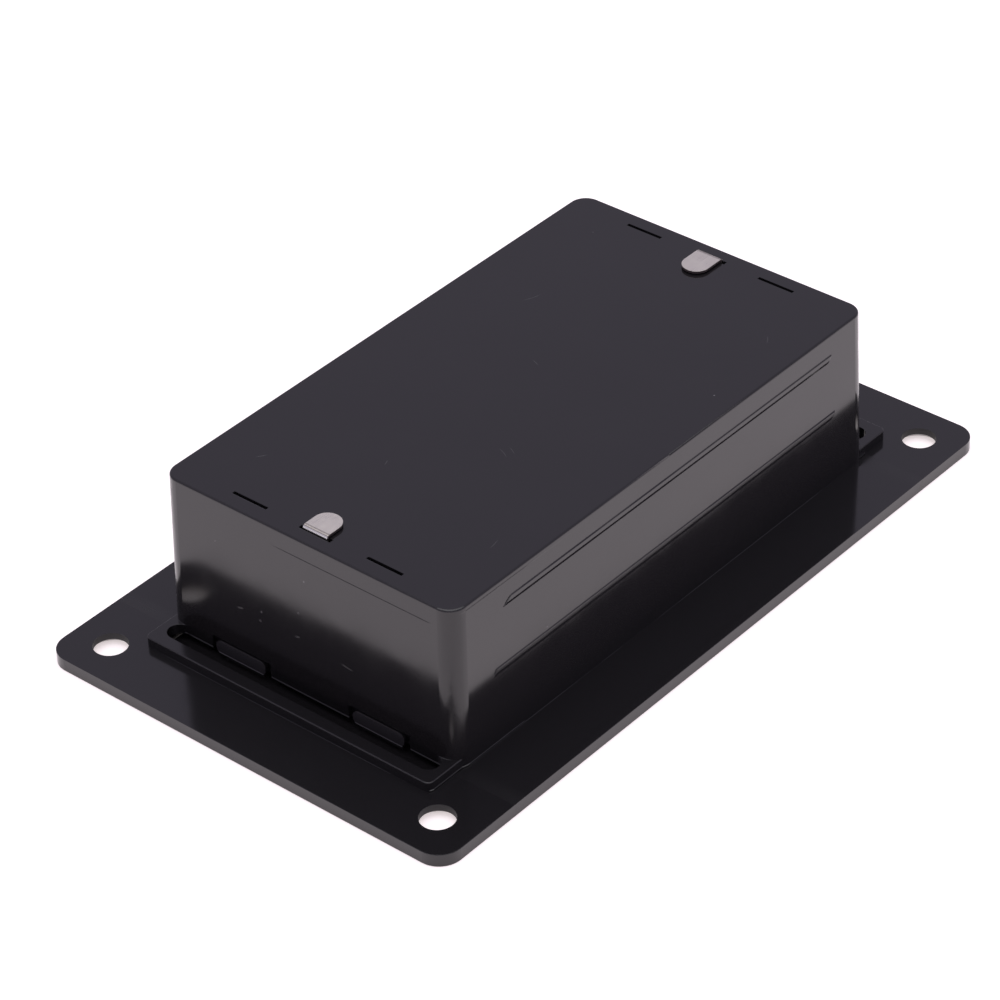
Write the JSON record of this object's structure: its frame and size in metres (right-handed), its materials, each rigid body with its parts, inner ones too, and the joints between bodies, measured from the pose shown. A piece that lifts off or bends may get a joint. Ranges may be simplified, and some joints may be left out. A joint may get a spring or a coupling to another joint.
{
  "type": "battery holder box",
  "caption": "Shallow moulded battery box with a screw flange round its front, a snap-in lid, wide contact plates with solder tabs and conical springs.",
  "frame": {"origin": "centre of the front face, on the plane that the flange's front and the closed lid share", "axes": "+X along the box's long side, +Y across it, +Z from the front face towards the closed back of the box"},
  "size_m": [0.0764, 0.0454, 0.0178],
  "materials": {
    "moulding": "satin to gloss black ABS",
    "plated_steel": "satin nickel plating on thin steel strip",
    "spring_wire": "nickel plated spring wire"
  },
  "bodies": {
    "case": {"housing": "moulding", "negative_plate": "plated_steel", "positive_plate": "plated_steel", "spring_left": "spring_wire", "spring_right": "spring_wire"},
    "cover": {"lid": "moulding"}
  },
  "joints": [
    {"name": "lid_lift", "type": "slide", "parent": "case", "child": "cover", "axis": [0, 0, -1], "range_m": [0, 0.014]}
  ]
}
